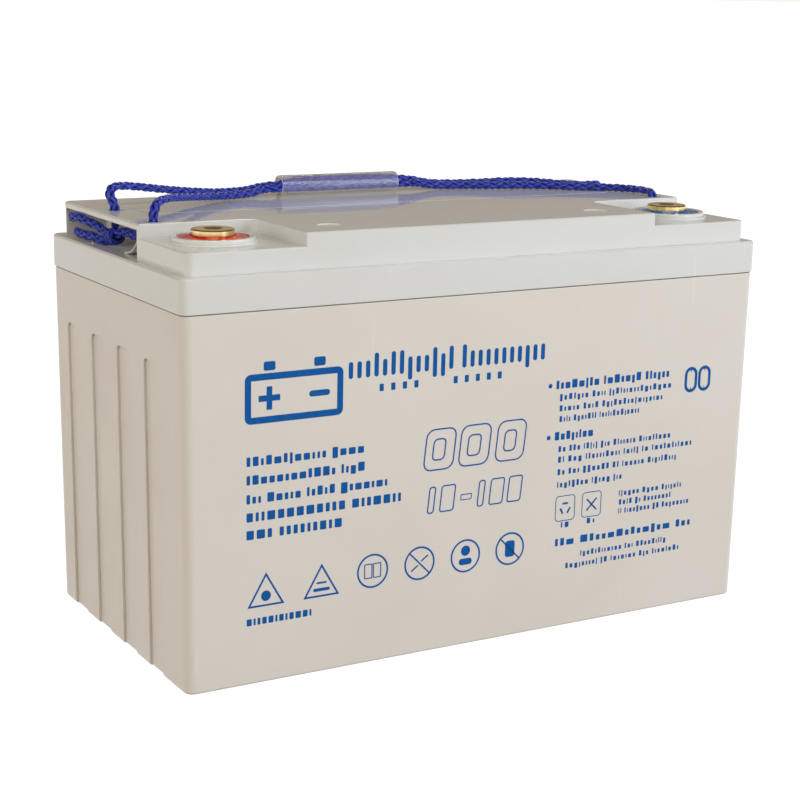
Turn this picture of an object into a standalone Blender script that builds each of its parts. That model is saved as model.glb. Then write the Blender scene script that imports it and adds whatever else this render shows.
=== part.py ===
"""Sealed 12 V deep cycle battery, absorbed-glass-mat type, with a rope carry handle.

Metres, +Z up. The origin is the middle of the underside. +X runs along the length towards the
negative terminal, and the wide front face looks along -Y. Six cells stand in a row along X.
"""

import math

import bmesh
import bpy
from mathutils import Vector

MM = 0.001
GAP = 0.3 * MM  # clearance between pieces that touch on the real battery

# Overall size
LENGTH, WIDTH, HEIGHT = 330 * MM, 171 * MM, 214 * MM

# Container
LID_LINE = 180 * MM  # top of the container's outer wall
WALL_INSET = 0.4 * MM  # the container stands this far inside the lid's band
DRAFT = 1.4 * MM  # the container is this much smaller on each side at the bottom
CASE_CORNER = 5 * MM
FLOOR = 4 * MM
TONGUE_TOP = 186 * MM
TONGUE_INSET = 3.4 * MM  # from the lid band's outside to the tongue's outside
CELL_COUNT = 6
CELL_WALL = 2.4 * MM
CELLS_HALF_X, CELLS_HALF_Y = 160.1 * MM, 80.4 * MM
CELL_X = (2 * CELLS_HALF_X - (CELL_COUNT - 1) * CELL_WALL) / CELL_COUNT
CELL_PITCH = CELL_X + CELL_WALL
FLUTE_COUNT, FLUTE_PITCH, FLUTE_FIRST_Y = 4, 34.5 * MM, -46.5 * MM
FLUTE_WIDTH, FLUTE_TOP, FLUTE_DEPTH, FLUTE_RADIUS = 17 * MM, 153.3 * MM, 1.5 * MM, 3 * MM
BASE_EDGE = 1.5 * MM
PAST = 5 * MM  # how far a cutter runs past the surface that it opens

# Lid
BAND_TOP = 197 * MM
BAND_INSET = 5 * MM  # the lid's upper body stands this far inside the band
BODY_X, BODY_Y = LENGTH / 2 - BAND_INSET, WIDTH / 2 - BAND_INSET
BAND_CORNER, BODY_CORNER, BAND_EDGE, BODY_EDGE = 4.5 * MM, 4 * MM, 1 * MM, 0.8 * MM
LID_WALL, LID_ROOF = 3 * MM, 3.6 * MM
LEDGE_Z = 207.5 * MM  # floor of the two terminal notches
NOTCH_X, NOTCH_Y = 100.5 * MM, -23.7 * MM
POCKET_DEPTH = 23 * MM
POCKET_Y = (-20.5 * MM, 79 * MM)
POCKET_TOP = 210.7 * MM
ROPE_HOLE_X, ROPE_HOLE_Y, ROPE_HOLE_R = 149 * MM, (-15 * MM, 34 * MM), 4 * MM
GUIDE_RADIUS, GUIDE_CENTRE_Z, GUIDE_THICK = 20 * MM, 218 * MM, 1.1 * MM
RIB_Y, RIB_THICK, RIB_HIGH, RIB_LONG = 39.5 * MM, 1.2 * MM, 1 * MM, 6.5 * MM
DIMPLE_X, DIMPLE_Y, DIMPLE_R, DIMPLE_DEEP = 77.5 * MM, -59.5 * MM, 5.8 * MM, 0.5 * MM

# Valve cover plate, and the vents under it
PLATE_X, PLATE_Y, PLATE_THICK = 139 * MM, (12 * MM, 62 * MM), 2 * MM
PLATE_CORNER = 2 * MM
TROUGH_X, TROUGH_Y, TROUGH_FLOOR = 130 * MM, (20 * MM, 56 * MM), 203 * MM
VENT_X = (-119 * MM, -80.7 * MM, -26.9 * MM, 26.9 * MM, 80.7 * MM, 119 * MM)
VENT_Y, NECK_R, NECK_BORE_R, NECK_TOP = 38 * MM, 6 * MM, 2.5 * MM, 209 * MM
VALVE_WALL, VALVE_SKIRT = 1.4 * MM, 4.2 * MM

# Terminals
TERMINAL_X, TERMINAL_Y = 132.9 * MM, -48 * MM
BOSS_R, BOSS_STEP_R, BOSS_TOP, BOSS_STEP_TOP = 20 * MM, 21.2 * MM, 210.5 * MM, 208.6 * MM
SEAL_R, SEAL_FLOOR = 17 * MM, 206.4 * MM
POST_R, POST_HEAD_R, POST_BORE_R = 9 * MM, 10.4 * MM, 6.8 * MM
POST_HEAD_TOP, POST_BORE_FLOOR = 210.4 * MM, 195.4 * MM
INSERT_R, INSERT_TOP, INSERT_BOTTOM, INSERT_STEM_R = 10.4 * MM, 213.8 * MM, 196 * MM, 6.5 * MM
THREAD_R, THREAD_FLOOR, THREAD_MOUTH_R = 3.7 * MM, 199 * MM, 4.7 * MM
RING_Z, RING_R, RING_THICK_R = 198 * MM, 10.25 * MM, 0.95 * MM
CHIMNEY_R, CHIMNEY_BOTTOM = 14 * MM, 192 * MM

# Plates and straps
POSITIVE_COUNT, NEGATIVE_COUNT = 5, 6
PLATE_STEP = 4.4 * MM  # from a plate to its neighbour of the other polarity
POSITIVE_THICK, NEGATIVE_THICK = 3 * MM, 2.2 * MM
GRID_HALF_Y, GRID_BOTTOM, GRID_TOP = 76 * MM, 5 * MM, 150 * MM
LUG_HALF_Y, LUG_OVERLAP, STRAP_HALF_Y, STRAP_Y = 6 * MM, 2 * MM, 10 * MM, 48 * MM
STRAP_REACH, STRAP_BOTTOM, STRAP_TOP = 23 * MM, 158 * MM, 165 * MM
TAB_TOP, TAB_THICK = 180 * MM, 3 * MM
WELD_Z, WELD_R = 172 * MM, 6 * MM
MAT_THICK, MAT_TOP, MAT_HALF_Y = 1.2 * MM, 153 * MM, 77.6 * MM

# Carry rope and its grip
ROPE_R = 2.1 * MM
ROPE_STEP = 6 * MM
GRIP_X = (-45 * MM, 29 * MM)
GRIP_Y, GRIP_Z, GRIP_R, GRIP_WALL = 62.5 * MM, 220.1 * MM, 5.8 * MM, 0.9 * MM
GRIP_SLIT = math.radians(15)  # half of the slit along its underside
MIDDLE_X = (-50.5 * MM, 37 * MM)
FRONT_YZ, BACK_YZ = (61.0 * MM, 218.1 * MM), (63.9 * MM, 221.6 * MM)
KNOT_CENTRE, KNOT_HALF = (-153.6, 24.5, 201.2), (4.6, 8.2, 3.9)

# Routes of the rope's stretches, in millimetres
LEFT_FRONT = (
    (-151.2, 16.5, 205.0), (-150.3, 8, 204.6), (-149.6, -2, 205.0), (-149.2, -10.5, 207.4),
    (-149, -14.6, 210.8), (-149, -15, 214), (-148.4, -14.4, 218.4), (-144.5, -10, 222.2),
    (-135.2, 0, 222.7), (-122.4, 14, 221.2), (-107.8, 29, 219.3), (-91.5, 43, 217.5),
    (-77, 51, 216.7), (-63, 57, 216.8), (-56, 60.4, 217.8), (-51, 61, 218.1),
)
LEFT_BACK = (
    (-150.2, 33.4, 205.2), (-149.1, 34, 208.6), (-149, 34, 212.5), (-150.4, 34.6, 217.4),
    (-151.9, 36.8, 221.8), (-149.2, 39.2, 224.8), (-143.1, 42, 225.3), (-133.1, 46, 224),
    (-120.2, 50, 221.8), (-101.3, 55.5, 219.3), (-82.3, 60.2, 218.2), (-66, 63.3, 218.4),
    (-60, 63.9, 219.3), (-55, 63.9, 221.1), (-51, 63.9, 221.6),
)
RIGHT_FRONT = (
    (37.4, 61, 218.1), (42, 61.2, 217.8), (48, 61.6, 217.1), (56, 61.6, 216.5), (67, 58.4, 216.5),
    (79.5, 52.3, 216.5), (92, 48.6, 216.5), (107, 42.8, 216.5), (122, 32, 216.5),
    (133, 23.6, 216.5), (141, 18.4, 216.7), (147.5, 11, 217), (150.6, 1, 217),
    (150.3, -6, 217.2), (149.7, -12, 217), (149.1, -15.2, 214.8), (149, -15.2, 211.5),
    (149, -15, 208.3),
)
RIGHT_BACK = (
    (37.4, 63.9, 221.6), (42, 64.2, 221.2), (48, 65.6, 219.8), (56, 66.8, 218.3), (68, 64.2, 217.7),
    (81.5, 58.2, 218.1), (94.5, 54.4, 218.4), (110, 48.4, 218.5), (125, 38.6, 218.5),
    (134.5, 32, 218.4), (141, 31.2, 217.9), (146.3, 32.6, 216.6), (148.8, 33.8, 213.4),
    (149, 34, 208.3),
)
RIGHT_TURN = (
    (149, 34, 207), (149.1, 33.2, 204.2), (149.7, 26, 200.6), (150, 17.5, 199.6),
    (150, 8, 199.8), (149.7, 0, 201.6), (149.3, -7.5, 203.8), (149.1, -12, 205.8),
    (149, -13.6, 206.8),
)
UPPER_TAIL = (
    (-155.2, 33.1, 203.6), (-156.8, 39, 205.8), (-159.4, 46, 207.2), (-161.3, 53, 208.7),
    (-162, 59.5, 208.2), (-161.8, 65, 206.6),
)
LOWER_TAIL = (
    (-157.2, 33.4, 199.4), (-158.8, 40, 200.4), (-160.2, 47, 200.4), (-160.9, 54.5, 200.6),
    (-160.9, 61, 201.4),
)


def clear_scene():
    for obj in list(bpy.data.objects):
        bpy.data.objects.remove(obj, do_unlink=True)


def collection(name, shown=True):
    made = bpy.data.collections.new(name)
    bpy.context.scene.collection.children.link(made)
    made.hide_render = not shown
    return made


def material(name, colour, roughness, metallic=0.0, alpha=1.0):
    made = bpy.data.materials.new(name)
    made.use_nodes = True
    shader = made.node_tree.nodes["Principled BSDF"]
    shader.inputs["Base Color"].default_value = (*colour, 1.0)
    shader.inputs["Roughness"].default_value = roughness
    shader.inputs["Metallic"].default_value = metallic
    shader.inputs["Alpha"].default_value = alpha
    made.diffuse_color = (*colour, alpha)
    return made


clear_scene()
PARTS = collection("deep_cycle_battery")
CUTTERS = collection("cutters", shown=False)

CASE_ABS = material("case_abs", (0.72, 0.65, 0.57), 0.45)
LID_ABS = material("lid_abs", (0.62, 0.60, 0.55), 0.22)
RUBBER = material("valve_rubber", (0.03, 0.03, 0.03), 0.7)
LEAD = material("lead", (0.30, 0.31, 0.33), 0.45, metallic=1.0)
POSITIVE_PASTE = material("positive_plate", (0.16, 0.07, 0.04), 0.85)
NEGATIVE_PASTE = material("negative_plate", (0.30, 0.32, 0.34), 0.8)
GLASS_MAT = material("glass_mat", (0.88, 0.88, 0.86), 0.95)
BRASS = material("terminal_brass", (0.75, 0.53, 0.22), 0.25, metallic=1.0)
RED_RESIN = material("positive_resin", (0.70, 0.02, 0.01), 0.3)
BLUE_RESIN = material("negative_resin", (0.01, 0.12, 0.32), 0.3)
ROPE = material("rope_fibre", (0.02, 0.03, 0.32), 0.6)
CLEAR_PVC = material("clear_pvc", (0.95, 0.95, 0.95), 0.08, alpha=0.3)


def add(name, bm, look=None):
    """A part if it has a look, otherwise a cutter."""
    mesh = bpy.data.meshes.new(name)
    bm.to_mesh(mesh)
    bm.free()
    obj = bpy.data.objects.new(name, mesh)
    if look:
        mesh.materials.append(look)
        PARTS.objects.link(obj)
    else:
        CUTTERS.objects.link(obj)
        obj.hide_render = True
        obj.display_type = "WIRE"
    return obj


def smooth(obj):
    obj.data.shade_smooth()
    obj.data.set_sharp_from_angle(angle=math.radians(35))
    return obj


def block(low, high, corner=0.0, top_edge=0.0, bottom_edge=0.0, segments=4):
    """A box between two corners, its upright edges rounded by corner, and its rims by the two edges."""
    low, high = Vector(low), Vector(high)
    bm = bmesh.new()
    bmesh.ops.create_cube(bm, size=1.0)
    bmesh.ops.scale(bm, vec=high - low, verts=bm.verts)
    bmesh.ops.translate(bm, vec=(low + high) / 2, verts=bm.verts)
    if corner:
        upright = [e for e in bm.edges if abs(e.verts[0].co.z - e.verts[1].co.z) > 1e-6]
        bmesh.ops.bevel(bm, geom=upright, offset=corner, segments=segments, profile=0.5, affect="EDGES")
    for edge, z in ((top_edge, high.z), (bottom_edge, low.z)):
        if edge:
            rim = [e for e in bm.edges if all(abs(v.co.z - z) < 1e-6 for v in e.verts)]
            bmesh.ops.bevel(bm, geom=rim, offset=edge, segments=2, profile=0.5, affect="EDGES")
    return bm


def cylinder(centre, radius, bottom, top, segments=24):
    bm = bmesh.new()
    bmesh.ops.create_cone(
        bm, cap_ends=True, segments=segments, radius1=radius, radius2=radius, depth=top - bottom
    )
    bmesh.ops.translate(bm, vec=(*centre, (bottom + top) / 2), verts=bm.verts)
    return bm


def turned(name, profile, centre, look=None, segments=32):
    """A closed profile of (radius, height) points, outer side first and running down, turned about +Z."""
    bm = bmesh.new()
    points = [bm.verts.new((r, 0, z)) for r, z in profile]
    for a, b in zip(points, points[1:] + points[:1]):
        if a.co.x > 0 or b.co.x > 0:
            bm.edges.new((a, b))
    obj = add(name, bm, look)
    obj.location = (*centre, 0)
    screw = obj.modifiers.new("turn", "SCREW")
    screw.steps = screw.render_steps = segments
    screw.use_merge_vertices = True
    screw.merge_threshold = 0.00001
    return obj


def boolean(obj, tool, operation="DIFFERENCE"):
    made = obj.modifiers.new(tool.name, "BOOLEAN")
    made.operation = operation
    made.object = tool
    return made


def cut(obj, name, bm):
    boolean(obj, add(name, bm))


def join(obj, name, bm):
    boolean(obj, add(name, bm), "UNION")


def cell_span(index):
    """The lowest and highest X of a cell's inside."""
    start = -CELLS_HALF_X + index * CELL_PITCH
    return start, start + CELL_X


# Container


def make_case():
    half_x, half_y = LENGTH / 2 - WALL_INSET, WIDTH / 2 - WALL_INSET
    low, high = (-half_x, -half_y, 0), (half_x, half_y, LID_LINE)
    bm = block(low, high, CASE_CORNER, bottom_edge=BASE_EDGE)
    for v in bm.verts:
        inward = DRAFT * (1 - v.co.z / LID_LINE)
        v.co.x *= 1 - inward / half_x
        v.co.y *= 1 - inward / half_y
    case = smooth(add("case", bm, CASE_ABS))
    tongue_x, tongue_y = LENGTH / 2 - TONGUE_INSET, WIDTH / 2 - TONGUE_INSET
    low, high = (-tongue_x, -tongue_y, LID_LINE - 2 * PAST), (tongue_x, tongue_y, TONGUE_TOP)
    join(case, "case_tongue", block(low, high, 2 * MM, segments=2))
    for index in range(CELL_COUNT):
        x0, x1 = cell_span(index)
        low, high = (x0, -CELLS_HALF_Y, FLOOR), (x1, CELLS_HALF_Y, TONGUE_TOP + PAST)
        cut(case, f"cell_{index + 1}_inside", block(low, high))
    for side in (-1, 1):
        for index in range(FLUTE_COUNT):
            cut_flute(case, side, index, half_x)
    for index in range(CELL_COUNT - 1):
        cut(case, f"weld_window_{index + 1}", weld_disc(index, WELD_R + GAP, 2 * MM))
    return case


def cut_flute(case, side, index, half_x):
    """A shallow upright recess in an end wall, round-shouldered at its top and open at the bottom."""
    y = FLUTE_FIRST_Y + index * FLUTE_PITCH
    inner, outer = half_x - FLUTE_DEPTH, half_x + PAST
    x0, x1 = (inner, outer) if side > 0 else (-outer, -inner)
    bm = block((x0, y - FLUTE_WIDTH / 2, -PAST), (x1, y + FLUTE_WIDTH / 2, FLUTE_TOP))
    shoulders = [
        e
        for e in bm.edges
        if abs(e.verts[0].co.x - e.verts[1].co.x) > 1e-6 and e.verts[0].co.z > FLUTE_TOP / 2
    ]
    bmesh.ops.bevel(bm, geom=shoulders, offset=FLUTE_RADIUS, segments=4, profile=0.5, affect="EDGES")
    for v in bm.verts:
        v.co.x -= side * DRAFT * (1 - v.co.z / LID_LINE)
    cut(case, f"flute_{'right' if side > 0 else 'left'}_{index + 1}", bm)


def weld_disc(index, radius, past):
    """A disc through the wall between a cell and the next one, reaching past it by that much on each side."""
    x = cell_span(index)[1] + CELL_WALL / 2
    y = STRAP_Y if index % 2 == 0 else -STRAP_Y
    bm = bmesh.new()
    bmesh.ops.create_cone(
        bm, cap_ends=True, segments=14, radius1=radius, radius2=radius, depth=CELL_WALL + 2 * past
    )
    for v in bm.verts:
        v.co = Vector((v.co.z + x, v.co.x + y, v.co.y + WELD_Z))
    return bm


# Lid


def make_lid():
    low, high = (-LENGTH / 2, -WIDTH / 2, LID_LINE + GAP), (LENGTH / 2, WIDTH / 2, BAND_TOP)
    lid = smooth(add("lid", block(low, high, BAND_CORNER, top_edge=BAND_EDGE), LID_ABS))
    low, high = (-BODY_X, -BODY_Y, BAND_TOP - PAST), (BODY_X, BODY_Y, HEIGHT)
    join(lid, "lid_body", block(low, high, BODY_CORNER, top_edge=BODY_EDGE))
    hollow_lid(lid)
    for side, word in ((-1, "left"), (1, "right")):
        cut_terminal_notch(lid, side, word)
        cut_rope_pocket(lid, side, word)
        centre = (side * DIMPLE_X, DIMPLE_Y)
        cut(lid, f"dimple_{word}", cylinder(centre, DIMPLE_R, HEIGHT - DIMPLE_DEEP, HEIGHT + PAST))
        make_terminal_boss(lid, side, word)
    make_valve_trough(lid)
    return lid


def hollow_lid(lid):
    """The groove over the container's tongue, then the head space of each cell up to the lid's steps."""
    groove_x, groove_y = LENGTH / 2 - TONGUE_INSET + GAP, WIDTH / 2 - TONGUE_INSET + GAP
    low, high = (-groove_x, -groove_y, LID_LINE - PAST), (groove_x, groove_y, TONGUE_TOP + GAP)
    cut(lid, "lid_groove", block(low, high, 2 * MM, segments=2))
    half_y = BODY_Y - LID_WALL
    pocket_wall = BODY_X - POCKET_DEPTH - LID_WALL
    front_y, rear_y = PLATE_Y[0] - 2 * LID_WALL, PLATE_Y[1] + LID_WALL + 1 * MM
    levels = (
        ("low", BODY_X - LID_WALL, -half_y, half_y, TONGUE_TOP - 1 * MM, BAND_TOP - LID_WALL),
        ("high", pocket_wall, -half_y, half_y, BAND_TOP - PAST, TROUGH_FLOOR - LID_WALL),
        ("front", NOTCH_X - LID_WALL, -half_y, front_y, BAND_TOP, HEIGHT - LID_ROOF),
        ("rear", pocket_wall, rear_y, half_y, BAND_TOP, HEIGHT - LID_ROOF),
    )
    for index in range(CELL_COUNT):
        x0, x1 = cell_span(index)
        for word, limit, y0, y1, z0, z1 in levels:
            left, right = max(x0, -limit), min(x1, limit)
            if right > left:
                cut(lid, f"head_{word}_{index + 1}", block((left, y0, z0), (right, y1, z1)))


def cut_terminal_notch(lid, side, word):
    """The low corner that a terminal stands in, with its inner upright corner rounded."""
    near, far = side * NOTCH_X, side * (BODY_X + 2 * PAST)
    low = (min(near, far), -BODY_Y - 2 * PAST, LEDGE_Z)
    high = (max(near, far), NOTCH_Y, HEIGHT + PAST)
    cut(lid, f"terminal_notch_{word}", block(low, high, 5 * MM))


def cut_rope_pocket(lid, side, word):
    """An end pocket for the rope's turn or knot, its two rope holes, and the curved guide inside it."""
    near, far = side * (BODY_X - POCKET_DEPTH), side * (BODY_X + 2 * PAST)
    low = (min(near, far), POCKET_Y[0], BAND_TOP)
    high = (max(near, far), POCKET_Y[1], POCKET_TOP)
    cut(lid, f"rope_pocket_{word}", block(low, high))
    for index, y in enumerate(ROPE_HOLE_Y):
        centre = (side * ROPE_HOLE_X, y)
        bm = cylinder(centre, ROPE_HOLE_R, POCKET_TOP - PAST, HEIGHT + PAST, 20)
        cut(lid, f"rope_hole_{word}_{index + 1}", bm)
    join(lid, f"rope_guide_{word}", rope_guide(side))
    rib_end = side * (BODY_X - GAP)
    rib_start = rib_end - side * RIB_LONG
    low = (min(rib_end, rib_start), RIB_Y, BAND_TOP - RIB_HIGH)
    high = (max(rib_end, rib_start), RIB_Y + RIB_THICK, BAND_TOP + RIB_HIGH)
    join(lid, f"pocket_rib_{word}", block(low, high))


def rope_guide(side):
    """A thin curved wall that leads the rope from the pocket's floor up to its front hole."""
    steps = 8
    reach = math.asin((POCKET_TOP + 1.5 * MM - GUIDE_CENTRE_Z) / GUIDE_RADIUS)
    start, end = math.radians(-88), -math.pi - reach
    x0, x1 = side * (BODY_X - 2 * MM), side * (BODY_X - POCKET_DEPTH - 1.5 * MM)
    bm = bmesh.new()
    rings = []
    for step in range(steps + 1):
        angle = start + (end - start) * step / steps
        ring = []
        for radius, x in (
            (GUIDE_RADIUS, x0),
            (GUIDE_RADIUS + GUIDE_THICK, x0),
            (GUIDE_RADIUS + GUIDE_THICK, x1),
            (GUIDE_RADIUS, x1),
        ):
            y, z = radius * math.cos(angle), GUIDE_CENTRE_Z + radius * math.sin(angle)
            ring.append(bm.verts.new((x, y, z)))
        rings.append(ring)
    for first, second in zip(rings, rings[1:]):
        for k in range(4):
            bm.faces.new((first[k], first[(k + 1) % 4], second[(k + 1) % 4], second[k]))
    bm.faces.new(rings[0])
    bm.faces.new(rings[-1])
    bmesh.ops.recalc_face_normals(bm, faces=bm.faces)
    return bm


def make_terminal_boss(lid, side, word):
    """The round boss on the notch's floor, its chimney below, the resin's recess and the post's bore."""
    centre = (side * TERMINAL_X, TERMINAL_Y)
    join(lid, f"boss_step_{word}", cylinder(centre, BOSS_STEP_R, LEDGE_Z - 1 * MM, BOSS_STEP_TOP, 40))
    join(lid, f"boss_{word}", cylinder(centre, BOSS_R, LEDGE_Z - 1 * MM, BOSS_TOP, 40))
    join(lid, f"chimney_{word}", cylinder(centre, CHIMNEY_R, CHIMNEY_BOTTOM, LEDGE_Z - 1 * MM, 16))
    cut(lid, f"resin_recess_{word}", cylinder(centre, SEAL_R, SEAL_FLOOR, BOSS_TOP + PAST, 40))
    bore = cylinder(centre, POST_R + 2 * GAP, CHIMNEY_BOTTOM - PAST, BOSS_TOP, 20)
    cut(lid, f"post_bore_{word}", bore)
    groove_r, half = RING_R + RING_THICK_R + GAP, RING_THICK_R + GAP
    cut(lid, f"ring_groove_{word}", cylinder(centre, groove_r, RING_Z - half, RING_Z + half, 20))


def make_valve_trough(lid):
    """The recess of the cover plate, the trough under it, and a vent neck for each cell."""
    low = (-PLATE_X - GAP, PLATE_Y[0] - GAP, HEIGHT - PLATE_THICK - GAP)
    high = (PLATE_X + GAP, PLATE_Y[1] + GAP, HEIGHT + PAST)
    cut(lid, "plate_recess", block(low, high, PLATE_CORNER + GAP, segments=3))
    low, high = (-TROUGH_X, TROUGH_Y[0], TROUGH_FLOOR), (TROUGH_X, TROUGH_Y[1], HEIGHT)
    cut(lid, "valve_trough", block(low, high, 4 * MM, segments=3))
    for index, x in enumerate(VENT_X):
        centre = (x, VENT_Y)
        join(lid, f"vent_neck_{index + 1}", cylinder(centre, NECK_R, TROUGH_FLOOR - 1 * MM, NECK_TOP, 14))
        bore = cylinder(centre, NECK_BORE_R, TROUGH_FLOOR - 2 * PAST, NECK_TOP + PAST, 8)
        cut(lid, f"vent_bore_{index + 1}", bore)


def make_cover_plate():
    low = (-PLATE_X, PLATE_Y[0], HEIGHT - PLATE_THICK)
    high = (PLATE_X, PLATE_Y[1], HEIGHT)
    smooth(add("valve_cover_plate", block(low, high, PLATE_CORNER, segments=3), LID_ABS))


def make_relief_valve(index):
    """A rubber cap over a vent neck: it stretches upwards a little to let gas out, then closes again."""
    inner, outer = NECK_R + GAP, NECK_R + GAP + VALVE_WALL
    under, top = NECK_TOP + GAP, NECK_TOP + GAP + VALVE_WALL
    bottom = NECK_TOP - VALVE_SKIRT
    profile = [(0, top), (outer, top), (outer, bottom), (inner, bottom), (inner, under), (0, under)]
    centre = (VENT_X[index], VENT_Y)
    smooth(turned(f"relief_valve_{index + 1}", profile, centre, RUBBER, 14))


# Terminals


def make_terminal(side, polarity, resin):
    centre = (side * TERMINAL_X, TERMINAL_Y)
    post = [
        (0, POST_BORE_FLOOR),
        (POST_BORE_R, POST_BORE_FLOOR),
        (POST_BORE_R, POST_HEAD_TOP),
        (POST_HEAD_R, POST_HEAD_TOP),
        (POST_HEAD_R, SEAL_FLOOR + GAP),
        (POST_R, SEAL_FLOOR + GAP),
        (POST_R, STRAP_TOP + GAP),
        (0, STRAP_TOP + GAP),
    ]
    smooth(turned(f"{polarity}_post", post, centre, LEAD, 20))
    flange = POST_HEAD_TOP + GAP
    insert = [
        (0, THREAD_FLOOR),
        (THREAD_R, THREAD_FLOOR),
        (THREAD_R, INSERT_TOP - 1 * MM),
        (THREAD_MOUTH_R, INSERT_TOP),
        (INSERT_R - 0.6 * MM, INSERT_TOP),
        (INSERT_R, INSERT_TOP - 0.6 * MM),
        (INSERT_R, flange),
        (INSERT_STEM_R, flange),
        (INSERT_STEM_R, INSERT_BOTTOM),
        (0, INSERT_BOTTOM),
    ]
    smooth(turned(f"{polarity}_terminal_insert", insert, centre, BRASS, 36))
    inner = POST_HEAD_R + GAP
    seal = [
        (inner, BOSS_TOP + 0.5 * MM),
        (inner + 1.5 * MM, BOSS_TOP + 0.1 * MM),
        (SEAL_R - GAP, BOSS_TOP - 0.8 * MM),
        (SEAL_R - GAP, SEAL_FLOOR + GAP),
        (inner, SEAL_FLOOR + GAP),
    ]
    smooth(turned(f"{polarity}_post_seal", seal, centre, resin, 40))
    sides = 6
    ring = [
        (
            RING_R + RING_THICK_R * math.cos(-math.tau * k / sides),
            RING_Z + RING_THICK_R * math.sin(-math.tau * k / sides),
        )
        for k in range(sides)
    ]
    smooth(turned(f"{polarity}_post_o_ring", ring, centre, RUBBER, 20))


# Cells


def plate_group(index, polarity):
    """The plates of one polarity in a cell on their strap, with the tab that reaches the next cell."""
    positive = polarity == "positive"
    x0, x1 = cell_span(index)
    middle = (x0 + x1) / 2
    count = POSITIVE_COUNT if positive else NEGATIVE_COUNT
    thick = POSITIVE_THICK if positive else NEGATIVE_THICK
    front = (index % 2 == 0) == positive
    y = -STRAP_Y if front else STRAP_Y
    low = (middle - STRAP_REACH, y - STRAP_HALF_Y, STRAP_BOTTOM)
    high = (middle + STRAP_REACH, y + STRAP_HALF_Y, STRAP_TOP)
    look = POSITIVE_PASTE if positive else NEGATIVE_PASTE
    group = add(f"{polarity}_plates_{index + 1}", block(low, high), look)
    for k in range(count):
        x = middle + (k - (count - 1) / 2) * 2 * PLATE_STEP
        left, right = x - thick / 2, x + thick / 2
        word = f"{group.name}_grid_{k + 1}"
        low, high = (left, -GRID_HALF_Y, GRID_BOTTOM), (right, GRID_HALF_Y, GRID_TOP)
        grid = add(word, block(low, high))
        low = (left, y - LUG_HALF_Y, GRID_TOP - LUG_OVERLAP)
        high = (right, y + LUG_HALF_Y, STRAP_TOP - LUG_OVERLAP)
        join(grid, f"{word}_lug", block(low, high))
        boolean(group, grid, "UNION")
    tab_x = x0 + GAP if positive else x1 - GAP - TAB_THICK
    if (index, positive) not in ((0, True), (CELL_COUNT - 1, False)):
        low = (tab_x, y - STRAP_HALF_Y + 1 * MM, STRAP_BOTTOM + 1 * MM)
        high = (tab_x + TAB_THICK, y + STRAP_HALF_Y - 1 * MM, TAB_TOP)
        join(group, f"{group.name}_tab", block(low, high))
    return group


def make_separator(index):
    """One long glass mat, folded to and fro between all the plates of a cell."""
    x0, x1 = cell_span(index)
    gaps = POSITIVE_COUNT + NEGATIVE_COUNT - 1
    route = []
    for k in range(gaps):
        x = (x0 + x1) / 2 + (k - (gaps - 1) / 2) * PLATE_STEP
        ends = (-MAT_HALF_Y, MAT_HALF_Y) if k % 2 == 0 else (MAT_HALF_Y, -MAT_HALF_Y)
        route += [(x, y) for y in ends]
    bm = bmesh.new()
    low = [bm.verts.new((x, y, GRID_BOTTOM)) for x, y in route]
    high = [bm.verts.new((x, y, MAT_TOP)) for x, y in route]
    for k in range(len(route) - 1):
        bm.faces.new((low[k], low[k + 1], high[k + 1], high[k]))
    mat = add(f"separator_{index + 1}", bm, GLASS_MAT)
    shell = mat.modifiers.new("thickness", "SOLIDIFY")
    shell.thickness = MAT_THICK
    shell.offset = 0
    shell.use_even_offset = True


# Carry rope and grip


def smooth_route(points, step):
    """Points about that far apart on a Catmull-Rom curve through the given ones, in metres."""
    points = [Vector(p) * MM for p in points]
    padded = [2 * points[0] - points[1], *points, 2 * points[-1] - points[-2]]
    fine = []
    for a, b, c, d in zip(padded, padded[1:], padded[2:], padded[3:]):
        for k in range(16):
            t = k / 16
            fine.append(
                0.5
                * (
                    2 * b
                    + (c - a) * t
                    + (2 * a - 5 * b + 4 * c - d) * t**2
                    + (3 * b - a - 3 * c + d) * t**3
                )
            )
    fine.append(points[-1])
    along = [0.0]
    for a, b in zip(fine, fine[1:]):
        along.append(along[-1] + (b - a).length)
    count = max(2, round(along[-1] / step))
    route, k = [], 0
    for n in range(count + 1):
        wanted = along[-1] * n / count
        while k < len(along) - 2 and along[k + 1] < wanted:
            k += 1
        share = (wanted - along[k]) / (along[k + 1] - along[k])
        route.append(fine[k].lerp(fine[k + 1], share))
    return route


def rope_stretch(name, route):
    """A stretch of the braided rope, as a round tube along its route."""
    curve = bpy.data.curves.new(name, "CURVE")
    curve.dimensions = "3D"
    curve.bevel_depth = ROPE_R
    curve.bevel_resolution = 2
    curve.use_fill_caps = True
    line = curve.splines.new("POLY")
    line.points.add(len(route) - 1)
    for point, place in zip(line.points, route):
        point.co = (*place, 1)
    obj = bpy.data.objects.new(name, curve)
    curve.materials.append(ROPE)
    PARTS.objects.link(obj)


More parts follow.
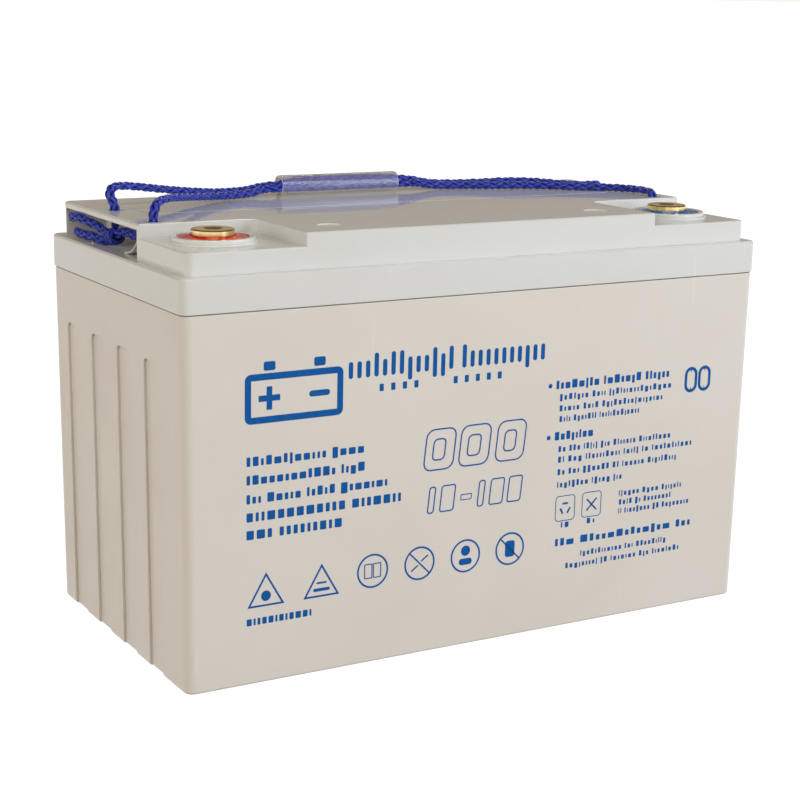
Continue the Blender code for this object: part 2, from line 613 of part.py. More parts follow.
def make_rope():
    stretches = (
        ("rope_leg_left_front", LEFT_FRONT),
        ("rope_leg_left_back", LEFT_BACK),
        ("rope_leg_right_front", RIGHT_FRONT),
        ("rope_leg_right_back", RIGHT_BACK),
        ("rope_turn_right", RIGHT_TURN),
        ("rope_tail_upper", UPPER_TAIL),
        ("rope_tail_lower", LOWER_TAIL),
    )
    for name, points in stretches:
        rope_stretch(name, smooth_route(points, ROPE_STEP))
    for name, (y, z) in (("rope_middle_front", FRONT_YZ), ("rope_middle_back", BACK_YZ)):
        rope_stretch(name, [Vector((x, y, z)) for x in MIDDLE_X])
    bm = bmesh.new()
    bmesh.ops.create_uvsphere(bm, u_segments=16, v_segments=9, radius=1)
    bmesh.ops.scale(bm, vec=Vector(KNOT_HALF) * MM, verts=bm.verts)
    bmesh.ops.translate(bm, vec=Vector(KNOT_CENTRE) * MM, verts=bm.verts)
    smooth(add("rope_knot", bm, ROPE))


def make_grip():
    """A clear sleeve round both strands of the rope, slit along its underside."""
    steps = 26
    middle = GRIP_R - GRIP_WALL / 2
    bm = bmesh.new()
    rings = []
    for x in GRIP_X:
        ring = []
        for k in range(steps + 1):
            angle = -math.pi / 2 + GRIP_SLIT + (math.tau - 2 * GRIP_SLIT) * k / steps
            y, z = GRIP_Y + middle * math.cos(angle), GRIP_Z + middle * math.sin(angle)
            ring.append(bm.verts.new((x, y, z)))
        rings.append(ring)
    for k in range(steps):
        bm.faces.new((rings[0][k], rings[0][k + 1], rings[1][k + 1], rings[1][k]))
    grip = smooth(add("grip_sleeve", bm, CLEAR_PVC))
    shell = grip.modifiers.new("wall", "SOLIDIFY")
    shell.thickness = GRIP_WALL
    shell.offset = 0
    shell.use_even_offset = True


make_case()
make_lid()
make_cover_plate()
for cell in range(CELL_COUNT):
    make_relief_valve(cell)
    plate_group(cell, "positive")
    plate_group(cell, "negative")
    make_separator(cell)
for wall in range(CELL_COUNT - 1):
    smooth(add(f"intercell_weld_{wall + 1}", weld_disc(wall, WELD_R, 0), LEAD))
make_terminal(-1, "positive", RED_RESIN)
make_terminal(1, "negative", BLUE_RESIN)
make_rope()
make_grip()
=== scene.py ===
"""Looks of a sealed deep cycle battery with a rope carry handle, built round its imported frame.

Metres, +Z up. The printed wide face looks along -Y, and the positive terminal is at -X.
"""

import math
import random

import bmesh
import bpy
from mathutils import Matrix, Vector


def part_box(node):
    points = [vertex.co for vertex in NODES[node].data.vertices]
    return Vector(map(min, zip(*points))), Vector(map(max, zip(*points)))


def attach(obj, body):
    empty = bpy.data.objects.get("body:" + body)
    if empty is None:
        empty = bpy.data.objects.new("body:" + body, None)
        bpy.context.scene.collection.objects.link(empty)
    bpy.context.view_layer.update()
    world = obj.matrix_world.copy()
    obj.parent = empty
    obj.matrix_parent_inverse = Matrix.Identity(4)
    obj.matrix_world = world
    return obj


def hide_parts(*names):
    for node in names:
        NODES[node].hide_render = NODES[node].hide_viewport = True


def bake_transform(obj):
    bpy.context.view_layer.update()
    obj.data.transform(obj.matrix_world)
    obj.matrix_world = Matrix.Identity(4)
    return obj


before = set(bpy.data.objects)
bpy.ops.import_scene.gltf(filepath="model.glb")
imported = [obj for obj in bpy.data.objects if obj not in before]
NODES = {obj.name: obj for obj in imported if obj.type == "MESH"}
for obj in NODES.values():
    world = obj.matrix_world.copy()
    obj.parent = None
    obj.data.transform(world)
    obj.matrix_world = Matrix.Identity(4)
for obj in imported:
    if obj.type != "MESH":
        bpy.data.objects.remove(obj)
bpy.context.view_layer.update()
MM = 0.001


# Camera, lights and floor

CAMERA_PLACE = (-0.47391, -0.81047, 0.32123)
CAMERA_YAW, CAMERA_PITCH, CAMERA_ROLL = 30.172, 12.739, 1.016  # degrees
LENS, SENSOR_WIDE = 80.707, 36  # millimetres
CLIP_START, CLIP_END = 0.01, 3000

SURROUND_STRENGTH, SURROUND_COLOUR = 0.13, (1.0, 0.72, 0.55)
GROUND_STRENGTH, GROUND_COLOUR = 0.2, (1.0, 0.9, 0.76)
HORIZON_STRENGTH = 0.8
FLOOR_GLOW, FLOOR_GREY, FLOOR_HALF_SIZE, FLOOR_BELOW = 1.02, 0.12, 1000, 0.3 * MM
LAMP_TARGET = (0, 0, 0.12)
# name, place, width, height, power in watts, colour
LAMPS = (
    ("above_front", (-0.55, -1.45, 1.35), 1.8, 0.7, 13.5, (1.0, 0.965, 0.78)),
    ("right_front", (1.7, -1.9, 1.0), 1.4, 2.2, 53, (0.88, 0.945, 1.0)),
    ("right_strip", (1.25, -2.05, 1.05), 0.35, 2.0, 10, (0.88, 0.945, 1.0)),
    ("left_side", (-2.0, -0.1, 0.7), 1.0, 1.2, 19, (1.0, 0.95, 0.84)),
    ("back", (0.9, 1.5, 1.5), 1.2, 0.5, 8.5, (1.0, 0.97, 0.78)),
    ("backdrop", (1.0, 1.75, 0.78), 3.4, 0.8, 1.6, (1.0, 0.95, 0.88)),
)
# These large lamps would bleach the polished lid where it mirrors them.
NOT_MIRRORED = ("right_front", "left_side")


def make_camera():
    """The camera stands in front of the positive end, a little above the lid."""
    yaw, pitch, roll = (math.radians(a) for a in (CAMERA_YAW, CAMERA_PITCH, CAMERA_ROLL))
    ahead = Vector(
        (math.sin(yaw) * math.cos(pitch), math.cos(yaw) * math.cos(pitch), -math.sin(pitch))
    )
    level = Vector((math.cos(yaw), -math.sin(yaw), 0))
    upright = level.cross(ahead)
    right = math.cos(roll) * level + math.sin(roll) * upright
    up = -math.sin(roll) * level + math.cos(roll) * upright
    data = bpy.data.cameras.new("camera")
    data.sensor_width = SENSOR_WIDE
    data.lens = LENS
    data.clip_start, data.clip_end = CLIP_START, CLIP_END
    camera = bpy.data.objects.new("camera", data)
    turned = Matrix((right, up, -ahead)).transposed().to_4x4()
    camera.matrix_world = Matrix.Translation(CAMERA_PLACE) @ turned
    bpy.context.scene.collection.objects.link(camera)
    bpy.context.scene.camera = camera


def area_light(name, place, width, height, power, colour):
    """A rectangular lamp that faces the battery; clear tubing doesn't show it."""
    data = bpy.data.lights.new(name, "AREA")
    data.shape = "RECTANGLE"
    data.size, data.size_y = width, height
    data.energy = power
    data.color = colour
    light = bpy.data.objects.new(name, data)
    place = Vector(place)
    light.location = place
    light.visible_transmission = False
    light.visible_glossy = name not in NOT_MIRRORED
    light.rotation_mode = "QUATERNION"
    light.rotation_quaternion = (Vector(LAMP_TARGET) - place).to_track_quat("-Z", "Y")
    bpy.context.scene.collection.objects.link(light)


def make_world():
    """A dim warm surround, which the glossy lid mirrors, with white along the horizon."""
    world = bpy.data.worlds.new("studio")
    world.use_nodes = True
    bpy.context.scene.world = world
    tree = world.node_tree
    tree.nodes.clear()
    output = tree.nodes.new("ShaderNodeOutputWorld")
    where = tree.nodes.new("ShaderNodeTexCoord")
    split = tree.nodes.new("ShaderNodeSeparateXYZ")
    tree.links.new(where.outputs["Generated"], split.inputs[0])
    level = tree.nodes.new("ShaderNodeMath")
    level.operation = "ABSOLUTE"
    tree.links.new(split.outputs["Z"], level.inputs[0])
    previous = None
    for height, low, high, at_low, at_high, colour in (
        (level.outputs[0], 0, 1, SURROUND_STRENGTH, SURROUND_STRENGTH, SURROUND_COLOUR),
        (split.outputs["Z"], -0.08, -0.04, GROUND_STRENGTH, 0.0, GROUND_COLOUR),
        (level.outputs[0], 0.008, 0.03, HORIZON_STRENGTH, 0.0, (1, 1, 1)),
    ):
        ramp = tree.nodes.new("ShaderNodeMapRange")
        ramp.interpolation_type = "SMOOTHSTEP"
        for socket, value in zip(
            ("From Min", "From Max", "To Min", "To Max"), (low, high, at_low, at_high)
        ):
            ramp.inputs[socket].default_value = value
        tree.links.new(height, ramp.inputs["Value"])
        shine = tree.nodes.new("ShaderNodeBackground")
        shine.inputs["Color"].default_value = (*colour, 1)
        tree.links.new(ramp.outputs[0], shine.inputs["Strength"])
        if previous:
            both = tree.nodes.new("ShaderNodeAddShader")
            tree.links.new(previous, both.inputs[0])
            tree.links.new(shine.outputs[0], both.inputs[1])
            previous = both.outputs[0]
        else:
            previous = shine.outputs[0]
    tree.links.new(previous, output.inputs["Surface"])


def make_stage():
    """A glowing white floor, seen by the camera and by mirrors, that lights nothing."""
    bm = bmesh.new()
    bmesh.ops.create_grid(bm, x_segments=1, y_segments=1, size=FLOOR_HALF_SIZE)
    mesh = bpy.data.meshes.new("floor")
    bm.to_mesh(mesh)
    bm.free()
    floor = bpy.data.objects.new("floor", mesh)
    floor.location.z = -FLOOR_BELOW
    floor.visible_diffuse = False
    floor.visible_transmission = False
    bpy.context.scene.collection.objects.link(floor)
    look = bpy.data.materials.new("floor_paper")
    look.use_nodes = True
    shader = look.node_tree.nodes["Principled BSDF"]
    shader.inputs["Base Color"].default_value = (FLOOR_GREY, FLOOR_GREY, FLOOR_GREY, 1)
    shader.inputs["Roughness"].default_value = 0.9
    shader.inputs["Specular IOR Level"].default_value = 0.0
    shader.inputs["Emission Color"].default_value = (1, 1, 1, 1)
    shader.inputs["Emission Strength"].default_value = FLOOR_GLOW
    mesh.materials.append(look)


make_camera()
bpy.context.scene.view_settings.view_transform = "Standard"
make_world()
make_stage()
for lamp in LAMPS:
    area_light(*lamp)


# Materials


class Look:
    """A Principled material, and short ways to add the nodes that vary it over the surface."""

    def __init__(self, name, colour, roughness, metallic=0.0, specular=0.5):
        self.material = bpy.data.materials.new(name)
        self.material.use_nodes = True
        self.tree = self.material.node_tree
        self.shader = self.tree.nodes["Principled BSDF"]
        self.place = self.node("ShaderNodeTexCoord").outputs["Object"]
        self.set("Base Color", (*colour, 1))
        self.set("Roughness", roughness)
        self.set("Metallic", metallic)
        self.set("Specular IOR Level", specular)
        self.height = None

    def node(self, kind, **settings):
        made = self.tree.nodes.new(kind)
        for name, value in settings.items():
            setattr(made, name, value)
        return made

    def set(self, socket, value):
        self.shader.inputs[socket].default_value = value
        return self

    def link(self, a, b):
        self.tree.links.new(a, b)
        return self

    def noise(self, scale, detail=3.0, roughness=0.55, stretch=(1, 1, 1), distortion=0.0):
        """A noise value over the surface, with scale in features a metre."""
        mapping = self.node("ShaderNodeMapping")
        mapping.inputs["Scale"].default_value = stretch
        self.link(self.place, mapping.inputs["Vector"])
        made = self.node("ShaderNodeTexNoise")
        made.inputs["Scale"].default_value = scale
        made.inputs["Detail"].default_value = detail
        made.inputs["Roughness"].default_value = roughness
        made.inputs["Distortion"].default_value = distortion
        self.link(mapping.outputs[0], made.inputs["Vector"])
        return made.outputs["Fac"]

    def spots(self, scale, size):
        """1 inside sparse round spots, and 0 elsewhere."""
        made = self.node("ShaderNodeTexVoronoi")
        made.inputs["Scale"].default_value = scale
        self.link(self.place, made.inputs["Vector"])
        return self.range(made.outputs["Distance"], 0.0, size, 1.0, 0.0)

    def range(self, value, low, high, to_low, to_high):
        made = self.node("ShaderNodeMapRange")
        for socket, number in zip(
            ("From Min", "From Max", "To Min", "To Max"), (low, high, to_low, to_high)
        ):
            made.inputs[socket].default_value = number
        self.link(value, made.inputs["Value"])
        return made.outputs[0]

    def math(self, operation, a, b):
        made = self.node("ShaderNodeMath", operation=operation)
        for socket, value in zip(made.inputs, (a, b)):
            if isinstance(value, (int, float)):
                socket.default_value = value
            else:
                self.link(value, socket)
        return made.outputs[0]

    def mix(self, amount, a, b):
        """A colour from a to b; each is a colour or another node's output."""
        made = self.node("ShaderNodeMix", data_type="RGBA")
        self.link(amount, made.inputs["Factor"])
        for socket, value in ((made.inputs[6], a), (made.inputs[7], b)):
            if isinstance(value, tuple):
                socket.default_value = (*value, 1)
            else:
                self.link(value, socket)
        return made.outputs[2]

    def paint(self, colour):
        return self.link(colour, self.shader.inputs["Base Color"])

    def rough(self, value):
        return self.link(value, self.shader.inputs["Roughness"])

    def bump(self, value, distance, strength=1.0):
        """Adds a relief of that height in metres; several add up."""
        made = self.node("ShaderNodeBump")
        made.inputs["Strength"].default_value = strength
        made.inputs["Distance"].default_value = distance
        self.link(value, made.inputs["Height"])
        if self.height:
            self.link(self.height, made.inputs["Normal"])
        self.height = made.outputs[0]
        return self.link(self.height, self.shader.inputs["Normal"])


def moulded_plastic(name, colour, deep, roughness, grain, swell):
    """Moulded ABS: faint cloudy colour from the flow, a fine grain, a few scuffs and specks of dust.

    deep is the darker colour of the clouds; grain and swell are heights in metres.
    """
    look = Look(name, colour, roughness)
    clouds = look.range(look.noise(9, 4, 0.6, distortion=0.6), 0.3, 0.7, 0.0, 1.0)
    tint = look.mix(clouds, colour, deep)
    scuffs = look.range(look.noise(160, 2, 0.7, stretch=(1, 1, 0.12)), 0.71, 0.78, 0.0, 0.30)
    worn = tuple(min(1.0, c * 1.12) for c in colour)
    tint = look.mix(scuffs, tint, worn)
    specks = look.math("MULTIPLY", look.spots(70, 0.035), 0.35)
    look.paint(look.mix(specks, tint, tuple(c * 0.45 for c in colour)))
    smudge = look.range(look.noise(22, 5, 0.7), 0.35, 0.75, roughness * 0.9, roughness * 1.35)
    look.rough(look.math("ADD", smudge, look.math("MULTIPLY", scuffs, 0.25)))
    look.bump(look.noise(14, 2, 0.4), swell, 0.35)
    look.bump(look.noise(2600, 2, 0.5), grain, 0.6)
    return look.material


def turned_brass():
    """Turned brass with a light, patchy tarnish."""
    look = Look("turned_brass", (0.80, 0.56, 0.24), 0.22, metallic=1.0)
    tarnish = look.range(look.noise(160, 4, 0.65), 0.48, 0.85, 0.0, 1.0)
    look.paint(look.mix(tarnish, (0.96, 0.74, 0.36), (0.66, 0.40, 0.14)))
    look.rough(look.range(look.noise(300, 3, 0.6), 0.3, 0.7, 0.14, 0.27))
    look.bump(look.noise(500, 2, 0.5), 0.012 * MM, 0.5)
    return look.material


def poured_resin(name, colour, deep):
    """Epoxy poured round the post: glossy, a little uneven, with small bubbles."""
    look = Look(name, colour, 0.3, specular=0.2)
    look.set("Subsurface Weight", 0.08)
    look.set("Subsurface Scale", 0.5 * MM)
    look.set("Subsurface Radius", (1.0, 0.2, 0.2))
    look.paint(look.mix(look.range(look.noise(150, 3), 0.3, 0.7, 0.0, 1.0), colour, deep))
    look.rough(look.range(look.noise(300, 2), 0.3, 0.7, 0.22, 0.36))
    look.bump(look.noise(170, 2, 0.4), 0.1 * MM, 0.5)
    look.bump(look.spots(700, 0.18), 0.02 * MM, 0.6)
    return look.material


def rubber():
    look = Look("valve_rubber", (0.03, 0.03, 0.03), 0.6, specular=0.3)
    bloom = look.range(look.noise(220, 4, 0.6), 0.45, 0.8, 0.0, 0.6)
    look.paint(look.mix(bloom, (0.022, 0.022, 0.022), (0.10, 0.10, 0.095)))
    look.rough(look.range(look.noise(300, 3), 0.3, 0.7, 0.5, 0.75))
    look.bump(look.noise(1500, 3), 0.05 * MM)
    return look.material


def lead(name, bright, dull, roughness):
    look = Look(name, bright, roughness, metallic=0.85)
    look.paint(look.mix(look.range(look.noise(120, 5, 0.65), 0.3, 0.7, 0.0, 1.0), bright, dull))
    look.rough(look.range(look.noise(200, 4), 0.3, 0.7, roughness * 0.8, min(1, roughness * 1.3)))
    look.bump(look.noise(420, 4, 0.6), 0.2 * MM, 0.8)
    return look.material


def plate_paste(name, colour, deep):
    """Paste pressed into a cast grid, whose ribs show as a low square relief."""
    look = Look(name, colour, 0.85, specular=0.25)
    crumbs = look.range(look.noise(700, 4, 0.7), 0.3, 0.7, 0.0, 1.0)
    look.paint(look.mix(crumbs, colour, deep))
    for direction, scale in (("Y", 60), ("Z", 35)):
        ribs = look.node("ShaderNodeTexWave", wave_type="BANDS", bands_direction=direction)
        ribs.inputs["Scale"].default_value = scale
        look.link(look.place, ribs.inputs["Vector"])
        look.bump(look.range(ribs.outputs["Fac"], 0.85, 1.0, 0.0, 1.0), 0.3 * MM)
    look.rough(look.range(crumbs, 0.0, 1.0, 0.78, 0.95))
    look.bump(crumbs, 0.1 * MM)
    return look.material


def glass_mat():
    look = Look("glass_mat", (0.86, 0.86, 0.84), 0.95, specular=0.2)
    fibres = look.noise(900, 5, 0.75, stretch=(1, 0.15, 1), distortion=1.5)
    look.paint(look.mix(look.range(fibres, 0.3, 0.7, 0.0, 1.0), (0.90, 0.90, 0.88), (0.70, 0.70, 0.68)))
    look.rough(look.range(fibres, 0.3, 0.7, 0.85, 1.0))
    look.bump(fibres, 0.15 * MM)
    return look.material


def rope_fibre():
    """Blue polypropylene filaments that run along each strand; where a strand dips and on its inner side,
    its colour is darkened as painted shade.
    """
    look = Look("rope_fibre", (0.05, 0.08, 0.55), 0.32, specular=0.3)
    look.set("Sheen Weight", 0.08)
    look.set("Sheen Roughness", 0.4)
    look.set("Sheen Tint", (0.45, 0.55, 1.0, 1))
    uv = look.node("ShaderNodeUVMap", uv_map="strand").outputs[0]
    mapping = look.node("ShaderNodeMapping")
    mapping.inputs["Rotation"].default_value = (0, 0, math.radians(14))
    look.link(uv, mapping.inputs["Vector"])
    threads = look.node("ShaderNodeTexWave", wave_type="BANDS", bands_direction="X")
    threads.inputs["Scale"].default_value = 3.2
    threads.inputs["Distortion"].default_value = 0.8
    threads.inputs["Detail"].default_value = 2
    look.link(mapping.outputs[0], threads.inputs["Vector"])
    weave = look.node("ShaderNodeSeparateXYZ")
    look.link(look.node("ShaderNodeUVMap", uv_map="weave").outputs[0], weave.inputs[0])
    # painted shade: near-black blue where a strand dips under the next and on its inner side, full colour
    # on its raised outward crown
    lift = look.range(weave.outputs[0], 0.15, 0.85, 0.05, 1.0)
    crown = look.range(weave.outputs[1], 0.45, 1.0, 0.0, 1.0)
    painted_light_share = look.math("MULTIPLY", lift, crown)
    tone = look.range(look.noise(420, 4, 0.7), 0.3, 0.7, 0.0, 1.0)
    top = look.mix(tone, (0.020, 0.034, 0.36), (0.075, 0.115, 0.85))
    base = look.mix(painted_light_share, (0.002, 0.003, 0.045), top)
    look.paint(look.mix(look.range(threads.outputs["Fac"], 0.0, 1.0, 0.0, 0.35), base, (0.01, 0.014, 0.2)))
    look.rough(look.range(tone, 0.0, 1.0, 0.26, 0.44))
    look.bump(threads.outputs["Fac"], 0.06 * MM, 0.7)
    look.bump(look.noise(2500, 3, 0.7), 0.03 * MM, 0.5)
    return look.material


def clear_pvc():
    """Clear flexible tubing with a smooth, glossy outside."""
    look = Look("clear_pvc", (0.97, 0.97, 0.98), 0.06)
    look.set("Transmission Weight", 0.95)
    look.set("IOR", 1.28)
    look.set("Coat Weight", 0.5)
    look.set("Coat IOR", 1.6)
    look.set("Coat Roughness", 0.12)
    look.rough(look.range(look.noise(60, 3, 0.6, stretch=(0.3, 1, 1)), 0.35, 0.75, 0.06, 0.13))
    look.bump(look.noise(60, 1, 0.3, stretch=(0.15, 1, 1)), 0.04 * MM, 0.5)
    return look.material


def cut_pvc():
    """The sawn ends of the tubing, where it looks milky."""
    look = Look("pvc_edge", (0.90, 0.86, 0.74), 0.35)
    look.set("Transmission Weight", 0.35)
    look.paint(look.mix(look.noise(900, 3), (0.95, 0.92, 0.82), (0.84, 0.78, 0.64)))
    look.bump(look.noise(1800, 2), 0.03 * MM)
    return look.material


def print_ink():
    """Blue printing ink, a little patchy."""
    look = Look("print_ink", (0.0, 0.08, 0.33), 0.38, specular=0.12)
    patchy = look.range(look.noise(500, 4, 0.7), 0.35, 0.75, 0.0, 1.0)
    look.paint(look.mix(patchy, (0.0, 0.078, 0.31), (0.004, 0.10, 0.36)))
    look.rough(look.range(patchy, 0.0, 1.0, 0.32, 0.46))
    look.bump(patchy, 0.01 * MM, 0.4)
    return look.material


CASE_COLOURS = ((0.654, 0.619, 0.591), (0.622, 0.582, 0.546))
LID_COLOURS = ((0.643, 0.649, 0.654), (0.612, 0.616, 0.614))
CASE_ABS = moulded_plastic("case_plastic", *CASE_COLOURS, 0.36, 0.012 * MM, 0.25 * MM)
LID_ABS = moulded_plastic("lid_plastic", *LID_COLOURS, 0.045, 0.0003 * MM, 0.004 * MM)
LID_WALL_ABS = moulded_plastic("lid_wall_plastic", *LID_COLOURS, 0.2, 0.004 * MM, 0.02 * MM)
BRASS = turned_brass()
RED_RESIN = poured_resin("red_resin", (0.66, 0.010, 0.003), (0.54, 0.006, 0.002))
BLUE_RESIN = poured_resin("blue_resin", (0.002, 0.17, 0.46), (0.001, 0.11, 0.34))
RUBBER = rubber()
LEAD = lead("cast_lead", (0.36, 0.37, 0.39), (0.22, 0.23, 0.25), 0.45)
POSITIVE_PASTE = plate_paste("positive_paste", (0.15, 0.065, 0.035), (0.085, 0.035, 0.02))
NEGATIVE_PASTE = plate_paste("negative_paste", (0.32, 0.33, 0.34), (0.22, 0.23, 0.24))
GLASS_MAT = glass_mat()
ROPE = rope_fibre()
PVC = clear_pvc()
PVC_EDGE = cut_pvc()
INK = print_ink()


# Pieces


def add_mesh(name, bm, look, body=None):
    """A new object from that mesh, with its material and slot, on a body if one is given."""
    mesh = bpy.data.meshes.new(name)
    bm.to_mesh(mesh)
    bm.free()
    mesh.materials.append(look)
    obj = bpy.data.objects.new(name, mesh)
    bpy.context.scene.collection.objects.link(obj)
    if body:
        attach(obj, body)
    return obj


def shade(obj):
    obj.data.shade_smooth()
    obj.data.set_sharp_from_angle(angle=math.radians(32))


SHARP = math.radians(28)
FLAT_UP = 0.98  # the least upward part of a level face's normal


def rounded_copy(name, node, look, width, walls=None):
    """The node's own shape with its faceted faces joined up, and its sharp outer edges rounded off.

    walls is the material of all but its level faces.
    """
    bm = bmesh.new()
    bm.from_mesh(NODES[node].data)
    bmesh.ops.remove_doubles(bm, verts=bm.verts, dist=0.002 * MM)
    bmesh.ops.dissolve_limit(
        bm,
        angle_limit=math.radians(0.6),
        use_dissolve_boundaries=False,
        verts=bm.verts,
        edges=bm.edges,
        delimit=set(),
    )
    bm.normal_update()
    sharp = [
        e
        for e in bm.edges
        if len(e.link_faces) == 2
        and e.calc_face_angle(0) > SHARP
        and e.is_convex
    ]
    bmesh.ops.bevel(
        bm,
        geom=sharp,
        offset=width,
        segments=2,
        profile=0.5,
        affect="EDGES",
        clamp_overlap=False,
        miter_outer="SHARP",
    )
    obj = add_mesh(name, bm, look)
    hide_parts(node)
    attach(obj, "battery")
    shade(obj)
    weighted = obj.modifiers.new("even_faces", "WEIGHTED_NORMAL")
    weighted.keep_sharp = True
    if walls:
        obj.data.materials.append(walls)
        for face in obj.data.polygons:
            face.material_index = 0 if face.normal.z > FLAT_UP else 1


rounded_copy("case_shell", "case", CASE_ABS, 0.5 * MM)
rounded_copy("lid_shell", "lid", LID_ABS, 0.7 * MM, walls=LID_WALL_ABS)

for node, look in (
    ("valve_cover_plate", LID_ABS),
    ("positive_post_seal", RED_RESIN),
    ("negative_post_seal", BLUE_RESIN),
):
    NODES[node].data.materials[0] = look
for name, obj in NODES.items():
    for start, look in (
        ("relief_valve", RUBBER),
        ("positive_plates", POSITIVE_PASTE),
        ("negative_plates", NEGATIVE_PASTE),
        ("separator", GLASS_MAT),
        ("intercell_weld", LEAD),
    ):
        if name.startswith(start):
            obj.data.materials[0] = look
    if name.endswith("_post"):
        obj.data.materials[0] = LEAD
    if name.endswith("_o_ring"):
        obj.data.materials[0] = RUBBER
    if name.endswith("_terminal_insert"):
        obj.data.materials[0] = BRASS


# Rope: its route, in millimetres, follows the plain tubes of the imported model

LEFT_FRONT = (
    (-50.7, 61, 218.1), (-56, 60.4, 217.8), (-63, 57, 216.8), (-77, 51, 216.7),
    (-91.5, 43, 217.5), (-107.8, 29, 219.3), (-122.4, 14, 221.2), (-135.2, 0, 222.7),
    (-144.5, -10, 222.2), (-148.4, -14.4, 218.4), (-149, -15, 214), (-149, -14.6, 210.8),
    (-149.2, -10.5, 207.4), (-149.6, -2, 205), (-150.3, 8, 204.6), (-151.2, 16.5, 205),
    (-153.2, 25, 203.2), (-155.2, 33.1, 203.6), (-156.8, 39, 205.8), (-159.4, 46, 207.2),
    (-161.3, 53, 208.7), (-162, 59.5, 208.2), (-161.8, 65, 206.6),
)
LEFT_BACK = (
    (-50.7, 63.9, 219.4), (-55, 63.9, 219), (-60, 63.5, 218.3), (-66, 62.6, 217.6),
    (-82.3, 59.2, 217.7), (-101.3, 53.5, 219.5), (-120.2, 48, 222), (-133.1, 45, 223.9),
    (-142.1, 42, 224.9), (-148.2, 39.2, 224.6), (-150.9, 36.8, 221.8), (-150, 34.6, 217.4),
    (-149, 34, 212.5), (-149.1, 34, 208.6), (-150.2, 32.4, 205.4), (-152.8, 27.5, 201.4),
    (-155.2, 29.5, 199.3), (-157.2, 33.4, 199.4), (-158.8, 40, 200.4), (-160.2, 47, 200.4),
    (-160.9, 54.5, 200.6), (-160.9, 61, 201.4),
)
RIGHT = (
    (37.2, 63.9, 219.9), (42, 64, 219.2), (48, 64.4, 218), (56, 65, 217),
    (68, 62.4, 216.8), (81.5, 57.2, 217.3), (94.5, 53.0, 217.9), (110, 47.4, 217.7),
    (125, 36.7, 216.7), (134.5, 31, 216.4), (141, 30.8, 216.6), (146.3, 32.4, 215.8),
    (148.8, 33.8, 213.2), (149, 34, 208.3), (149.1, 33.2, 204.2), (149.7, 26, 200.9),
    (150, 17.5, 199.9), (150, 8, 200.1), (149.7, 0, 201.8), (149.3, -7.5, 203.8),
    (149.1, -12, 205.8), (149, -15, 208.3), (149, -15.2, 211.5), (149.1, -14.8, 214.2),
    (149.7, -12.5, 216), (150.2, -7.5, 216.3), (150.4, -1, 216.3), (147.5, 8.5, 216.2),
    (141, 16.2, 216.2), (133, 21.8, 216.2), (122, 29.7, 216.2), (107, 41, 216.2),
    (92, 46.8, 216.2), (79.5, 51, 216.2), (67, 56.4, 216.2), (56, 59.4, 216.3),
    (48, 60.4, 216.9), (42, 60.9, 217.7), (37.2, 61, 218.1),
)
MIDDLE_FRONT = ((-50.7, 61, 218.1), (-20, 61, 218.1), (10, 61, 218.1), (37.2, 61, 218.1))
MIDDLE_BACK = (
    (-50.7, 63.9, 219.4), (-44, 63.9, 219.8), (-34, 63.9, 221.2), (-20, 63.9, 221.6),
    (10, 63.9, 221.6), (30, 63.9, 220.6), (37.2, 63.9, 219.9),
)
KNOT_CENTRE = (-153.4, 25.5, 201.6)

ROPE_HALF_WIDE, ROPE_HALF_THICK = 2.6, 2.05  # the braid's half width and half thickness
STRANDS_EACH_WAY = 4
BRAID_PITCH = 30.0  # length of one strand's turn round the rope
STRAND_HALF_WIDE, STRAND_HALF_THICK = 1.06, 0.78
WEAVE = 0.5  # how far a strand rises over those it crosses
CROSSING_SHIFT = 0.125 / 2  # puts each strand's rise on its crossings
STRAND_SIDES = 6
THREAD_STRETCH, THREAD_SHIFT = 0.12, 0.37  # the thread pattern along a strand, and between strands
TIP_SHRINK, TIP_LONG = 0.35, 3.0  # how thin a cut end gets, over what length
RING_STEP = 1.0
SETTLE = 5  # rings each way over which the rope's turning is evened out
POCKET_TOP = 209.5
GRIP_SPAN = (-52, 38)
STACKED_OVER = (0, -0.64, 0.77)  # the way both strands' flat sides look inside the sleeve


def smooth_route(points, step):
    """Points about a step apart on a Catmull-Rom curve through the given ones."""
    points = [Vector(p) for p in points]
    padded = [2 * points[0] - points[1], *points, 2 * points[-1] - points[-2]]
    fine = []
    for a, b, c, d in zip(padded, padded[1:], padded[2:], padded[3:]):
        for k in range(16):
            t = k / 16
            fine.append(
                0.5
                * (
                    2 * b
                    + (c - a) * t
                    + (2 * a - 5 * b + 4 * c - d) * t**2
                    + (3 * b - a - 3 * c + d) * t**3
                )
            )
    fine.append(points[-1])
    along = [0.0]
    for a, b in zip(fine, fine[1:]):
        along.append(along[-1] + (b - a).length)
    count = max(2, round(along[-1] / step))
    route, k = [], 0
    for n in range(count + 1):
        wanted = along[-1] * n / count
        while k < len(along) - 2 and along[k + 1] < wanted:
            k += 1
        share = (wanted - along[k]) / (along[k + 1] - along[k])
        route.append(fine[k].lerp(fine[k + 1], share))
    return route, along[-1]


